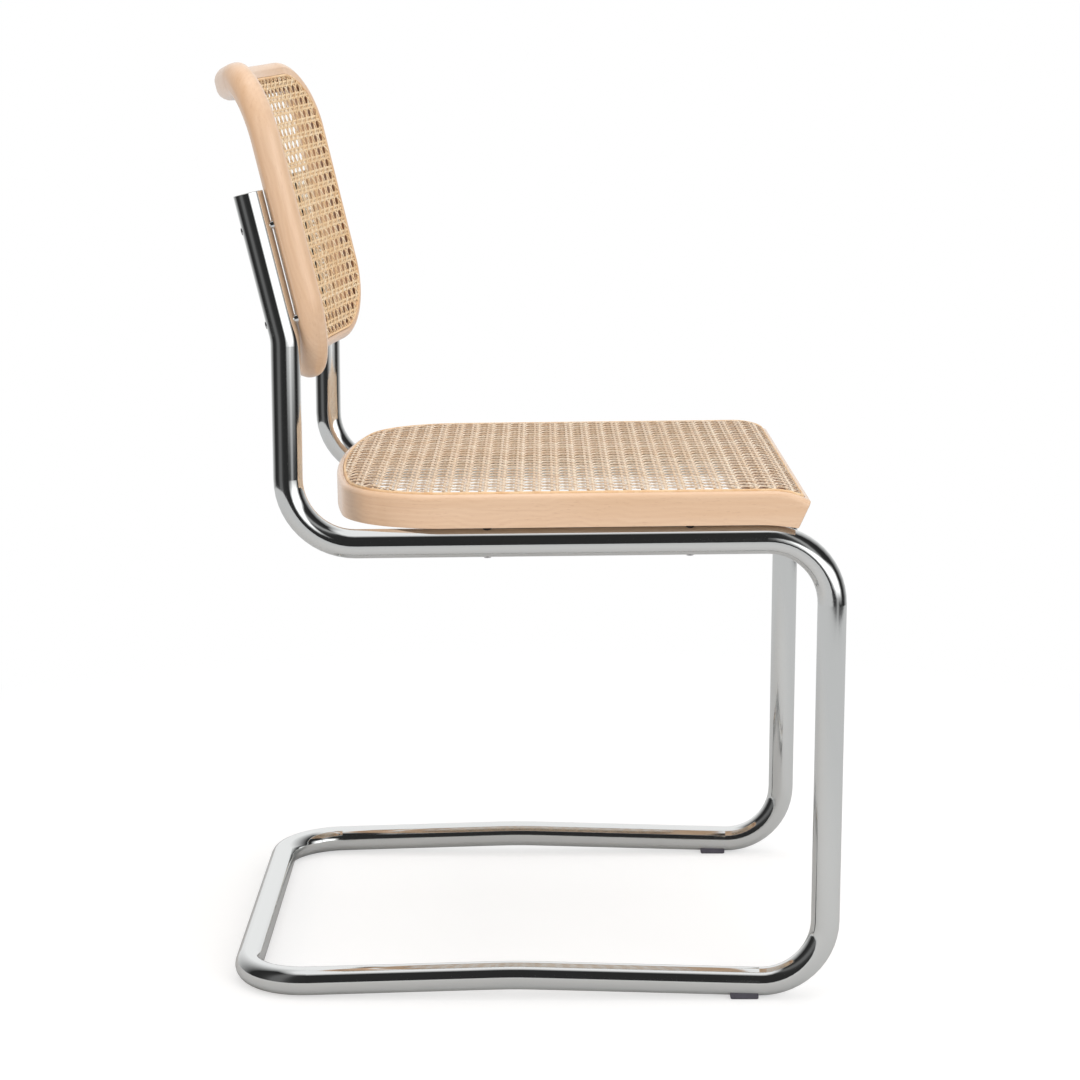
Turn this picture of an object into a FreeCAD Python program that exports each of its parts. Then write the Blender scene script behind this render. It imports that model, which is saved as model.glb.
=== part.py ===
import FreeCAD, Part
import Sketcher
import math
import os

from FreeCAD import Placement, Rotation, Vector

# Cantilever side chair: one bent chromed tube carries a caned beech seat and a caned, curved beech back.
# Millimetres. +Z is up, the front of the chair points to -Y, X runs from side to side.
# The origin lies on the floor under the middle of the chair.

os.makedirs("parts", exist_ok=True)
doc = FreeCAD.newDocument("cantilever_chair")
sheet = doc.addObject("Spreadsheet::Sheet", "Sizes")

SIZES = {
    # Tube and its side view. Distances forward are measured from the axis of the uprights.
    "tube_dia": 25.4,
    "tube_wall": 2.0,
    "track": 442.0,
    "bend_radius": 57.2,
    "rear_bend_radius": 58.0,
    "lean_bend_radius": 45.0,
    "kink_radius": 600.0,
    "upright_from_centre": 204.35,
    "leg_forward": 471.8,
    "crossbar_back": 49.2,
    "kink_forward": 195.0,
    "kink_rise": 7.5,
    "rail_height": 411.8,
    "rail_slope": 0.665,
    "lean_height": 590.0,
    "lean": 13.4,
    "lean_length": 126.7,
    # Glides and end plugs.
    "glide_forward": 400.2,
    "glide_length": 25.0,
    "glide_width": 18.0,
    "glide_bevel": 1.2,
    "pin_dia": 6.0,
    "pin_height": 9.0,
    "plug_length": 12.0,
    "plug_dish": 0.6,
    # Seat frame, in a frame that follows the slope of the seat rails.
    "seat_half": 231.0,
    "seat_rail_width": 28.0,
    "seat_back_edge": 28.4,
    "seat_corner": 95.0,
    "seat_bow": 923.0,
    "seat_under": 14.2,
    "seat_top": 43.0,
    "seat_edge_round": 5.0,
    "droop_start": 417.4,
    "nose_forward": 451.6,
    "nose_height": 33.8,
    "under_start": 404.0,
    "toe_forward": 440.9,
    "toe_height": 10.8,
    "front_rail_depth": 57.5,
    "cane_thick": 1.6,
    "mesh_pitch": 35.0,
    "mesh_opening": 21.0,
    "mesh_margin": 7.0,
    "seat_mesh_across": 12,
    "seat_mesh_along": 11,
    "cane_relief": 2.4,
    "cane_ledge": 1.5,
    "spline_proud": 1.8,
    "groove_edge": 5.5,
    "groove_width": 3.5,
    "groove_depth": 5.5,
    "groove_front": 447.0,
    "groove_front_corner": 6.0,
    # Back frame, in a frame that follows the lean of the uprights.
    "back_radius": 607.0,
    "back_offset": 3.3,
    "back_width": 466.0,
    "back_height": 278.0,
    "back_centre": 96.8,
    "back_corner": 71.0,
    "back_band": 28.8,
    "back_thick": 22.5,
    "back_front_round": 8.5,
    "back_rear_round": 11.8,
    "back_inner_round": 3.0,
    "back_groove_side": 10.0,
    "back_groove_top": 12.5,
    "back_groove_bottom": 9.0,
    "back_mesh_across": 12,
    "back_mesh_along": 7,
    # Fasteners.
    "screw_dia": 5.0,
    "screw_head_dia": 6.8,
    "screw_head_height": 1.4,
    "screw_hole_dia": 5.4,
    "spot_face": 0.6,
    "seat_screw_rear": 171.8,
    "seat_screw_front": 347.4,
    "seat_spacer_dia": 7.4,
    "back_screw_low": 15.2,
    "back_screw_high": 96.7,
    "back_spacer_dia": 7.0,
    "insert_dia": 8.0,
    "insert_length": 13.0,
    "key_width": 3.0,
    "key_depth": 0.9,
    "seat_dowel_dia": 8.0,
    "seat_dowel_length": 44.0,
    "seat_dowel_first": 13.0,
    "seat_dowel_second": 35.0,
    "back_dowel_dia": 6.0,
    "back_dowel_length": 34.0,
    "back_dowel_gap": 14.0,
}

for row, (alias, value) in enumerate(SIZES.items(), start=1):
    sheet.set("A%d" % row, alias)
    sheet.set("B%d" % row, str(value))
    sheet.setAlias("B%d" % row, alias)
doc.recompute()


def size(alias):
    """Value of a driving dimension, read from the sheet."""
    return float(sheet.get(alias))


TUBE_R = size("tube_dia") / 2
BORE_R = TUBE_R - size("tube_wall")
HALF_TRACK = size("track") / 2
UPRIGHT_Y = size("upright_from_centre")
SLOPE = math.radians(size("rail_slope"))
UP = Vector(0, 0, 1)
X_AXIS = Vector(1, 0, 0)
SIDES = {"left": 1, "right": -1}

# The seat's frame starts on the upright axis at rail height and turns with the slope of the rails.
SEAT_FRAME = Placement(Vector(0, UPRIGHT_Y, size("rail_height")), Rotation(X_AXIS, -size("rail_slope")))
# The back's frame starts where the uprights begin to lean and turns with them.
BACK_FRAME = Placement(Vector(0, UPRIGHT_Y, size("lean_height")), Rotation(X_AXIS, -size("lean")))


# Building blocks of the document

def feature(kind, name, place=None, **properties):
    """Adds an object, sets its properties and then its place."""
    obj = doc.addObject(kind, name)
    for key, value in properties.items():
        setattr(obj, key, value)
    if place is not None:
        obj.Placement = place
    return obj


def bind(obj, **formulas):
    """Ties properties of an object to the sheet; two underscores stand for a dot."""
    for key, formula in formulas.items():
        obj.setExpression(key.replace("__", "."), formula)
    return obj


def drawn(name, shape, place=None):
    """Outline, path or section drawn from the sheet's sizes, for other objects to build on."""
    return feature("Part::Feature", name, place, Shape=shape)


def cut(name, base, tool, place=None):
    return feature("Part::Cut", name, place, Base=base, Tool=tool)


def common(name, base, tool, place=None):
    return feature("Part::Common", name, place, Base=base, Tool=tool)


def fuse(name, items, place=None):
    return feature("Part::MultiFuse", name, place, Shapes=items, Refine=True)


def group(name, items, place=None):
    """Several like solids as one object."""
    return feature("Part::Compound", name, place, Links=items)


def mirrored(name, source, normal):
    return feature("Part::Mirroring", name, Source=source, Base=Vector(), Normal=normal)


def extrude(name, source, direction, length, place=None):
    """Solid from a face; the length is a number or a formula on the sheet."""
    obj = feature("Part::Extrusion", name, place, Base=source, DirMode="Custom", Dir=direction, Solid=True)
    if isinstance(length, str):
        bind(obj, LengthFwd=length)
    else:
        obj.LengthFwd = length
    return obj


def cylinder(name, radius, height, place=None):
    """Round bar along the +Z of its place, its radius and height tied to the sheet."""
    return bind(feature("Part::Cylinder", name, place), Radius=radius, Height=height)


def rounded(name, source, radius, wanted):
    """Rounds the edges of an object that a test picks out."""
    doc.recompute()
    numbered = enumerate(source.Shape.Edges, start=1)
    edges = [(index, radius, radius) for index, edge in numbered if wanted(edge)]
    return feature("Part::Fillet", name, Base=source, Edges=edges)


def at(x, forward, height):
    """Point of the chair from its side view: distance forward of the uprights, height above the floor."""
    return Vector(x, UPRIGHT_Y - forward, height)


def shifted(x, y, z):
    return Placement(Vector(x, y, z), Rotation())


# Frame tube

def rounded_path(points, radii):
    """Wire of straight runs through the points, with a tangent arc at each inner point."""
    edges = []
    start = points[0]
    for before, corner, after, radius in zip(points, points[1:], points[2:], radii):
        to_before = (before - corner).normalize()
        to_after = (after - corner).normalize()
        half = to_before.getAngle(to_after) / 2
        reach = radius / math.tan(half)
        bisector = (to_before + to_after).normalize()
        arc_start = corner + to_before * reach
        arc_end = corner + to_after * reach
        arc_mid = corner + bisector * (radius / math.sin(half) - radius)
        edges.append(Part.makeLine(start, arc_start))
        edges.append(Part.Arc(arc_start, arc_mid, arc_end).toShape())
        start = arc_end
    edges.append(Part.makeLine(start, points[-1]))
    return Part.Wire(edges)


def frame_points(x):
    """Corners of one side of the tube, from the top of the upright down to the rear floor corner."""
    leg = size("leg_forward")
    lean = math.radians(size("lean"))
    top_back = -size("lean_length") * math.sin(lean)
    top_height = size("lean_height") + size("lean_length") * math.cos(lean)
    return [
        at(x, top_back, top_height),
        at(x, 0, size("lean_height")),
        at(x, 0, size("rail_height")),
        at(x, leg, size("rail_height") + leg * math.tan(SLOPE)),
        at(x, leg, TUBE_R),
        at(x, size("kink_forward"), TUBE_R + size("kink_rise")),
        at(x, -size("crossbar_back"), TUBE_R),
    ]


def tube_path():
    right = frame_points(-HALF_TRACK)
    left = frame_points(HALF_TRACK)
    bend = size("bend_radius")
    side = [size("lean_bend_radius"), bend, bend, bend, size("kink_radius"), size("rear_bend_radius")]
    return rounded_path(right + left[::-1], side + side[::-1])


def swept(name, path, radius):
    """Round bar of the given radius formula along the tube's centre line."""
    first = path.Shape.OrderedEdges[0]
    along = first.tangentAt(first.FirstParameter)
    start = Placement(path.Shape.OrderedVertexes[0].Point, Rotation(UP, along))
    circle = bind(feature("Part::Circle", name + "_circle", start), Radius=radius)
    edges = ["Edge%d" % (index + 1) for index in range(len(path.Shape.Edges))]
    return feature("Part::Sweep", name, Sections=[circle], Spine=(path, edges), Solid=True, Frenet=False)


centre_line = drawn("tube_centre_line", tube_path())
tube_bar = swept("tube_bar", centre_line, "Sizes.tube_dia / 2")
tube_bore = swept("tube_bore", centre_line, "Sizes.tube_dia / 2 - Sizes.tube_wall")
tube_plain = cut("tube_undrilled", tube_bar, tube_bore)
doc.recompute()
expected = math.pi * (TUBE_R ** 2 - BORE_R ** 2) * centre_line.Shape.Length
if abs(tube_plain.Shape.Volume / expected - 1) > 0.002:
    raise RuntimeError("tube volume %.0f, expected %.0f" % (tube_plain.Shape.Volume, expected))


# Places of the screws. In each fastener +Z points from the head to the tip and z = 0 is the tube's axis.

def screw_places():
    """Placements of the four seat screws and of the four back screws, in the chair's frame."""
    seat = []
    back = []
    for x in (-HALF_TRACK, HALF_TRACK):
        for forward in (size("seat_screw_rear"), size("seat_screw_front")):
            seat.append(SEAT_FRAME.multiply(shifted(x, -forward, 0)))
        for height in (size("back_screw_low"), size("back_screw_high")):
            back.append(BACK_FRAME.multiply(Placement(Vector(x, 0, height), Rotation(X_AXIS, 90))))
    return seat, back


SEAT_PLACES, BACK_PLACES = screw_places()


# Holes in the tube: for the screws, the faces their heads sit on, and the glide pins

def drilled_tube():
    clearance = size("screw_head_dia") / 2 + 0.2
    face_depth = 4.0
    tools = []
    for index, place in enumerate(SEAT_PLACES + BACK_PLACES):
        through = place.multiply(shifted(0, 0, -size("tube_dia")))
        tools.append(cylinder("screw_hole_%d" % index, "Sizes.screw_hole_dia / 2", "Sizes.tube_dia * 2",
                              through))
        head = place.multiply(shifted(0, 0, -TUBE_R + size("spot_face") - face_depth))
        face = feature("Part::Cylinder", "spot_face_%d" % index, head, Radius=clearance, Height=face_depth)
        tools.append(face)
    for side, sign in SIDES.items():
        place = Placement(at(sign * HALF_TRACK, size("glide_forward"), 0), Rotation())
        tools.append(cylinder("pin_hole_" + side, "Sizes.pin_dia / 2", "Sizes.tube_dia / 2", place))
    return cut("frame_tube", tube_plain, fuse("tube_holes", tools))


drilled_tube()


# Upright end plugs

def end_plugs():
    dish = size("plug_dish")
    ball_radius = (BORE_R ** 2 + dish ** 2) / (2 * dish)
    base = size("lean_length") - size("plug_length")
    blank = cylinder("plug_blank", "Sizes.tube_dia / 2 - Sizes.tube_wall", "Sizes.plug_length")
    ball = feature("Part::Sphere", "plug_dish_ball", shifted(0, 0, size("plug_length") + ball_radius - dish),
                   Radius=ball_radius)
    plugs = []
    for side, sign in SIDES.items():
        place = BACK_FRAME.multiply(shifted(sign * HALF_TRACK, 0, base))
        plugs.append(cut("plug_" + side, blank, ball, place))
    group("upright_end_plugs", plugs)


end_plugs()


# Front glides

def glide_pad(side, place):
    """Rectangular pad with bevelled lower edges, drawn on the floor about its own centre."""
    body = doc.addObject("PartDesign::Body", "glide_pad_" + side)
    plane = [item for item in body.Origin.OriginFeatures if item.Role == "XY_Plane"][0]
    outline = body.newObject("Sketcher::SketchObject", "glide_outline_" + side)
    outline.AttachmentSupport = [(plane, "")]
    outline.MapMode = "FlatFace"
    wide = size("glide_width") / 2
    long = size("glide_length") / 2
    signs = ((-1, -1), (1, -1), (1, 1), (-1, 1))
    corners = [Vector(across * wide, along * long, 0) for across, along in signs]
    for start, end in zip(corners, corners[1:] + corners[:1]):
        outline.addGeometry(Part.LineSegment(start, end), False)
    for index in range(4):
        outline.addConstraint(Sketcher.Constraint("Coincident", index, 2, (index + 1) % 4, 1))
    for index, kind in enumerate(("Horizontal", "Vertical", "Horizontal", "Vertical")):
        outline.addConstraint(Sketcher.Constraint(kind, index))
    outline.addConstraint(Sketcher.Constraint("Symmetric", 0, 1, 1, 2, -1, 1))
    width = outline.addConstraint(Sketcher.Constraint("DistanceX", 0, 1, 0, 2, 2 * wide))
    length = outline.addConstraint(Sketcher.Constraint("DistanceY", 1, 1, 1, 2, 2 * long))
    outline.setExpression("Constraints[%d]" % width, "Sizes.glide_width")
    outline.setExpression("Constraints[%d]" % length, "Sizes.glide_length")
    pad = body.newObject("PartDesign::Pad", "glide_height_" + side)
    pad.Profile = outline
    bind(pad, Length="Sizes.tube_dia / 2")
    doc.recompute()
    bevel = body.newObject("PartDesign::Chamfer", "glide_bevel_" + side)
    numbered = enumerate(pad.Shape.Edges, start=1)
    low = ["Edge%d" % index for index, edge in numbered if edge.BoundBox.ZMax < 0.01]
    bevel.Base = (pad, low)
    bind(bevel, Size="Sizes.glide_bevel")
    body.Placement = place
    return body


def glides():
    for side, sign in SIDES.items():
        place = Placement(at(sign * HALF_TRACK, size("glide_forward"), 0), Rotation())
        saddle = cut("glide_saddle_" + side, glide_pad(side, place), tube_bar)
        pin = cylinder("glide_pin_" + side, "Sizes.pin_dia / 2", "Sizes.pin_height", place)
        fuse("front_glide_" + side, [saddle, pin])


glides()


# Fasteners

def screw_parts(name, reach):
    """Low domed screw and its hexagon key: head on its face under the tube, shank as long as a formula."""
    seat = -TUBE_R + size("spot_face")
    under = shifted(0, 0, seat - size("screw_head_height"))
    head = cylinder(name + "_head", "Sizes.screw_head_dia / 2", "Sizes.screw_head_height", under)
    dome = rounded(name + "_dome", head, size("screw_head_height") * 0.75,
                   lambda edge: edge.Closed and edge.CenterOfMass.z < seat - 0.5)
    shank = cylinder(name + "_shank", "Sizes.screw_dia / 2", reach, shifted(0, 0, seat))
    key = feature("Part::Prism", name + "_key", under)
    bind(key, Circumradius="Sizes.key_width / 2 / cos(30)", Height="Sizes.key_depth")
    return fuse(name + "_blank", [dome, shank]), key


def sleeve_parts(outer, bore, length, name, low):
    """Round bar and bore of a collar or bush that starts at the given height."""
    return (cylinder(name + "_bar", outer, length, shifted(0, 0, low)),
            cylinder(name + "_bore", bore, length, shifted(0, 0, low)))


def repeated(name, parts, places):
    """One object from four like cuts of the same two parts, each at its own place."""
    base, tool = parts
    copies = [cut("%s_%d" % (name, index), base, tool, place) for index, place in enumerate(places)]
    return group(name, copies)


def seat_fasteners():
    reach = "Sizes.tube_dia / 2 - Sizes.spot_face + Sizes.seat_under + Sizes.insert_length"
    repeated("seat_screws", screw_parts("seat_screw", reach), SEAT_PLACES)
    bush = sleeve_parts("Sizes.insert_dia / 2", "Sizes.screw_dia / 2", "Sizes.insert_length", "seat_insert",
                        size("seat_under"))
    repeated("seat_inserts", bush, SEAT_PLACES)
    collar = sleeve_parts("Sizes.seat_spacer_dia / 2", "Sizes.screw_hole_dia / 2", "Sizes.seat_under",
                          "seat_spacer", 0)
    cut("seat_spacers", repeated("seat_spacer_collars", collar, SEAT_PLACES), tube_bar)


seat_fasteners()


# Seat outline and profile, in the seat's frame: x across, y = -forward, z above the rail axis

def seat_u_points(offset):
    """Key points of one half of the U, from the straight side round the rear corner to the middle."""
    corner = size("seat_corner") - offset
    bow = size("seat_bow") - offset
    bow_forward = size("seat_back_edge") + size("seat_bow")
    corner_x = size("seat_half") - size("seat_corner")
    corner_forward = bow_forward - math.sqrt((size("seat_bow") - size("seat_corner")) ** 2 - corner_x ** 2)
    out = Vector(corner_x, bow_forward - corner_forward, 0).normalize()
    centre = Vector(corner_x, -corner_forward, 0)
    straight = centre + X_AXIS * corner
    middle = centre + (X_AXIS + out).normalize() * corner
    join = out * bow - Vector(0, bow_forward, 0)
    return straight, middle, join, Vector(0, bow - bow_forward, 0)


def mirror_x(point):
    return Vector(-point.x, point.y, point.z)


def seat_u_edges(offset, front):
    """Open U from the front of one side round the rear to the front of the other, at z = 0."""
    straight, middle, join, rear = seat_u_points(offset)
    half = size("seat_half") - offset
    return [
        Part.makeLine(Vector(half, -front, 0), straight),
        Part.Arc(straight, middle, join).toShape(),
        Part.Arc(join, rear, mirror_x(join)).toShape(),
        Part.Arc(mirror_x(join), mirror_x(middle), mirror_x(straight)).toShape(),
        Part.makeLine(mirror_x(straight), Vector(-half, -front, 0)),
    ]


def seat_region(offset, front, corner=0.0):
    """Face inside the seat outline set in by an offset and closed by a straight line at the front."""
    half = size("seat_half") - offset
    edges = seat_u_edges(offset, front - corner)
    if corner > 0:
        bit = corner * (1 - math.sqrt(0.5))
        for side in (-1, 1):
            start = Vector(side * half, -front + corner, 0)
            middle = Vector(side * (half - bit), -front + bit, 0)
            end = Vector(side * (half - corner), -front, 0)
            edges.append(Part.Arc(start, middle, end).toShape())
    edges.append(Part.makeLine(Vector(corner - half, -front, 0), Vector(half - corner, -front, 0)))
    return Part.Face(Part.Wire(Part.__sortEdges__(edges)))


PRISM_LOW = -10.0
PRISM_HEIGHT = 80.0
NOSE_ROUND = 1.5


def seat_prism(name, offset, front, corner=0.0):
    """Upright prism over a region of the seat's plan."""
    outline = drawn(name + "_outline", seat_region(offset, front, corner), shifted(0, 0, PRISM_LOW))
    return extrude(name, outline, UP, PRISM_HEIGHT)


def seat_side_view():
    """Side profile of the seat: flat on top, drooping to the nose, undercut below it."""
    half = size("seat_half") + 10
    rear = size("seat_back_edge") - 10

    def spot(forward, height):
        return Vector(-half, -forward, height)

    def drooping(start, high, end, low):
        """Points of an arc that leaves a level line and falls to a lower point: start, middle and end."""
        run = end - start
        drop = high - low
        radius = (run ** 2 + drop ** 2) / (2 * drop)
        turn = math.asin(run / radius) / 2
        middle = spot(start + radius * math.sin(turn), high - radius * (1 - math.cos(turn)))
        return spot(start, high), middle, spot(end, low)

    base = size("seat_under")
    top = size("seat_top")
    droop = drooping(size("droop_start"), top, size("nose_forward"), size("nose_height"))
    under = drooping(size("under_start"), base, size("toe_forward"), size("toe_height"))
    edges = [
        Part.makeLine(spot(rear, base), under[0]),
        Part.Arc(*under).toShape(),
        Part.makeLine(under[2], droop[2]),
        Part.Arc(*droop).toShape(),
        Part.makeLine(droop[0], spot(rear, top)),
        Part.makeLine(spot(rear, top), spot(rear, base)),
    ]
    return Part.Face(Part.Wire(edges))


side_view = drawn("seat_side_view", seat_side_view())


def seat_slab(name, raise_formula):
    """The side profile carried right across the seat, raised by a formula on the sheet."""
    slab = extrude(name, side_view, X_AXIS, "Sizes.seat_half * 2 + 20")
    return bind(slab, Placement__Base__z=raise_formula)


def on_outer_top(edge):
    """True for an edge where the outer side of the seat meets its top."""
    outline = Part.Wire(seat_u_edges(0.0, size("nose_forward") + 20))
    span = edge.LastParameter - edge.FirstParameter
    samples = [edge.valueAt(edge.FirstParameter + span * part) for part in (0.1, 0.5, 0.9)]
    high = all(point.z > size("nose_height") - 3 for point in samples)
    plan = [Part.Vertex(Vector(point.x, point.y, 0)) for point in samples]
    outside = all(spot.distToShape(outline)[0] < 0.01 for spot in plan)
    return high and outside and edge.Length > 5


def on_nose(edge):
    """True for the long level edges at the front."""
    level = edge.BoundBox.ZLength < 0.01 and edge.BoundBox.YLength < 0.01
    return level and -edge.CenterOfMass.y > size("toe_forward") - 1


def seat_openings():
    """Grid of square openings that stands for the weave, clear of the groove."""
    pitch = size("mesh_pitch")
    side = size("mesh_opening")
    across = int(size("seat_mesh_across"))
    inset = size("groove_edge") + size("groove_width") + size("mesh_margin")
    front = size("groove_front") - size("groove_width") - size("mesh_margin")
    inside = seat_region(inset, front)
    boxes = []
    for column in range(across):
        for row in range(int(size("seat_mesh_along"))):
            x = (column - (across - 1) / 2) * pitch
            y = -front + side / 2 + row * pitch
            corners = [Vector(x + a * side / 2, y + b * side / 2, 0) for a in (-1, 1) for b in (-1, 1)]
            if all(inside.isInside(corner, 0.01, True) for corner in corners):
                box = Part.makeBox(side, side, PRISM_HEIGHT, Vector(x - side / 2, y - side / 2, PRISM_LOW))
                boxes.append(box)
    return Part.makeCompound(boxes)


def blind_holes(name, places, low, frame):
    """Holes for the inserts, seen from a local frame, starting at a height along the screws."""
    holes = []
    for index, place in enumerate(places):
        local = frame.inverse().multiply(place).multiply(shifted(0, 0, low))
        holes.append(cylinder("%s_%d" % (name, index), "Sizes.insert_dia / 2", "Sizes.insert_length", local))
    return holes


def seat_dowel_bars():
    """Two dowels across each front joint."""
    inner = size("seat_half") - size("seat_rail_width")
    middle = (size("seat_under") + size("seat_top")) / 2 - 3
    rear = size("nose_forward") - size("front_rail_depth")
    bars = []
    for side in SIDES.values():
        for forward in (rear + size("seat_dowel_first"), rear + size("seat_dowel_second")):
            start = Vector(side * inner - size("seat_dowel_length") / 2, -forward, middle)
            bars.append(cylinder("seat_dowel_%d" % len(bars), "Sizes.seat_dowel_dia / 2",
                                 "Sizes.seat_dowel_length", Placement(start, Rotation(UP, X_AXIS))))
    return bars


def seat_pieces():
    beyond = size("nose_forward") + 20
    width = size("groove_width")
    turn = size("groove_front_corner")
    wood = seat_slab("seat_wood", "0")
    groove_floor = seat_slab("seat_groove_floor", "-Sizes.groove_depth")
    groove_out = seat_prism("seat_groove_outside", size("groove_edge"), size("groove_front"), turn)
    groove_in = seat_prism("seat_groove_inside", size("groove_edge") + width, size("groove_front") - width,
                           turn - width)
    groove_ring = cut("seat_groove_ring", groove_out, groove_in)
    groove = cut("seat_groove", groove_ring, groove_floor)
    ledge = width + size("cane_ledge")
    relief_plan = seat_prism("seat_relief_plan", size("groove_edge") + ledge, size("groove_front") - ledge,
                             turn - ledge)
    relief = cut("seat_relief", relief_plan, seat_slab("seat_relief_floor", "-Sizes.cane_relief"))
    dowels = seat_dowel_bars()

    plan = seat_prism("seat_plan", 0.0, beyond)
    hollow = seat_prism("seat_hollow", size("seat_rail_width"), beyond + 10)
    blank = common("seat_blank", wood, plan)
    eased = rounded("seat_blank_eased", blank, size("seat_edge_round"), on_outer_top)
    bent = rounded("seat_u_blank", cut("seat_u_sawn", eased, hollow), NOSE_ROUND, on_nose)
    holes = blind_holes("seat_insert_hole", SEAT_PLACES, size("seat_under"), SEAT_FRAME)
    u_tools = fuse("seat_u_tools", [groove, relief] + dowels + holes)
    cut("seat_side_and_rear_frame", bent, u_tools, SEAT_FRAME)

    rail_half = size("seat_half") - size("seat_rail_width")
    rail_rear = size("nose_forward") - size("front_rail_depth")
    between = feature("Part::Box", "seat_between_sides", shifted(-rail_half, -rail_rear - 200, PRISM_LOW),
                      Width=200, Height=PRISM_HEIGHT)
    bind(between, Length="(Sizes.seat_half - Sizes.seat_rail_width) * 2")
    rail = rounded("seat_rail_blank", common("seat_rail_sawn", wood, between), NOSE_ROUND, on_nose)
    cut("seat_front_rail", rail, fuse("seat_rail_tools", [groove, relief] + dowels), SEAT_FRAME)
    group("seat_dowels", dowels, SEAT_FRAME)

    reed_height = seat_slab("seat_reed_height", "Sizes.spline_proud")
    common("seat_cane_spline", groove, reed_height, SEAT_FRAME)
    cane_height = seat_slab("seat_cane_height", "Sizes.cane_thick")
    sheet_blank = cut("seat_cane_blank", common("seat_cane_block", groove_in, cane_height), wood)
    cut("seat_cane_panel", sheet_blank, drawn("seat_cane_openings", seat_openings()), SEAT_FRAME)


seat_pieces()


# Back frame, in the back's frame: x across, y = -forward, z up the lean

BACK_R = size("back_radius")
BACK_AXIS = Vector(0, -(BACK_R - size("back_offset")), 0)
BAND = size("back_band")
STRAIGHT_U = size("back_width") / 2 - size("back_corner")
STRAIGHT_V = size("back_height") / 2 - size("back_corner")
MID_CORNER = size("back_corner") - BAND / 2
BACK_MIDDLE = shifted(0, 0, size("back_centre"))
TRIM = 0.6


def back_cylinder(name, radius):
    """Tall round bar about the axis of the back's curve."""
    height = 600.0
    foot = BACK_AXIS + UP * (size("back_centre") - height / 2)
    obj = feature("Part::Cylinder", name, Placement(foot, Rotation()), Height=height)
    return bind(obj, Radius=radius)


def back_section(arc_length, height, turn):
    """Section of the ring on its middle line, turned from the side (0) to the top (a quarter turn)."""
    angle = arc_length / BACK_R
    radial = Vector(math.sin(angle), math.cos(angle), 0)
    along = Vector(math.cos(angle), -math.sin(angle), 0)
    outward = along * math.cos(turn) + UP * math.sin(turn)
    origin = BACK_AXIS + radial * BACK_R + UP * height

    def spot(out, depth):
        return origin + outward * out + radial * depth

    half = BAND / 2
    thick = size("back_thick")
    front = size("back_front_round")
    rear = size("back_rear_round")
    inner = size("back_inner_round")
    slack = 1 - math.sqrt(0.5)
    corners = [
        (half - front, -TRIM, half - front * slack, front * slack, half, front),
        (half, thick - rear, half - rear * slack, thick - rear * slack, half - rear, thick),
        (-half + rear, thick, -half + rear * slack, thick - rear * slack, -half, thick - rear),
        (-half, inner, -half + inner * slack, inner * slack, -half + inner, -TRIM),
    ]
    edges = []
    last = None
    for out_a, depth_a, out_m, depth_m, out_b, depth_b in corners:
        start = spot(out_a, depth_a)
        if last is not None:
            edges.append(Part.makeLine(last, start))
        last = spot(out_b, depth_b)
        edges.append(Part.Arc(start, spot(out_m, depth_m), last).toShape())
    edges.append(Part.makeLine(last, spot(half - front, -TRIM)))
    return Part.Wire(edges)


def back_corner():
    """Upper left corner of the ring, lofted through turned sections."""
    steps = 8
    sections = []
    for step in range(steps + 1):
        turn = math.pi / 2 * step / steps
        arc_length = STRAIGHT_U + MID_CORNER * math.cos(turn)
        height = STRAIGHT_V + MID_CORNER * math.sin(turn)
        sections.append(drawn("back_corner_section_%d" % step, back_section(arc_length, height, turn)))
    return feature("Part::Loft", "back_corner", Sections=sections, Solid=True, Ruled=False)


def back_stile():
    """Left stile with the two corners that are cut from it, about the middle of the back's height."""
    upper = back_corner()
    lower = mirrored("back_corner_low", upper, UP)
    section = drawn("back_stile_section", Part.Face(back_section(STRAIGHT_U + MID_CORNER, -STRAIGHT_V, 0.0)))
    bar = extrude("back_stile_bar", section, UP, 2 * STRAIGHT_V)
    return fuse("back_stile_uncut", [bar, upper, lower], BACK_MIDDLE)


def back_rail():
    """Top rail: the section turned about the axis of the curve."""
    angle = math.degrees(2 * STRAIGHT_U / BACK_R)
    section = drawn("back_rail_section", Part.Face(back_section(-STRAIGHT_U, STRAIGHT_V + MID_CORNER,
                                                                math.pi / 2)))
    return feature("Part::Revolution", "back_rail_bar", Source=section, Axis=UP, Base=BACK_AXIS,
                   Angle=-angle, Solid=True)


def back_prism(name, inset):
    """Rounded outline of the cane as seen from the front, carried through the whole back."""
    half = BACK_R * math.sin((size("back_width") / 2 - size("back_groove_side") - inset) / BACK_R)
    top = size("back_centre") + size("back_height") / 2 - size("back_groove_top") - inset
    low = size("back_centre") - size("back_height") / 2 + size("back_groove_bottom") + inset
    radius = size("back_corner") - size("back_groove_side") - inset
    bit = radius * (1 - math.sqrt(0.5))
    depth = 60.0
    edges = []
    for level, into in ((low, 1), (top, -1)):
        edges.append(Part.makeLine(Vector(radius - half, depth, level), Vector(half - radius, depth, level)))
        for side in (-1, 1):
            start = Vector(side * (half - radius), depth, level)
            middle = Vector(side * (half - bit), depth, level + into * bit)
            end = Vector(side * half, depth, level + into * radius)
            edges.append(Part.Arc(start, middle, end).toShape())
    for side in (-1, 1):
        edges.append(Part.makeLine(Vector(side * half, depth, low + radius),
                                   Vector(side * half, depth, top - radius)))
    outline = drawn(name + "_outline", Part.Face(Part.Wire(Part.__sortEdges__(edges))))
    return extrude(name, outline, Vector(0, -1, 0), 2 * depth)


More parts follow.
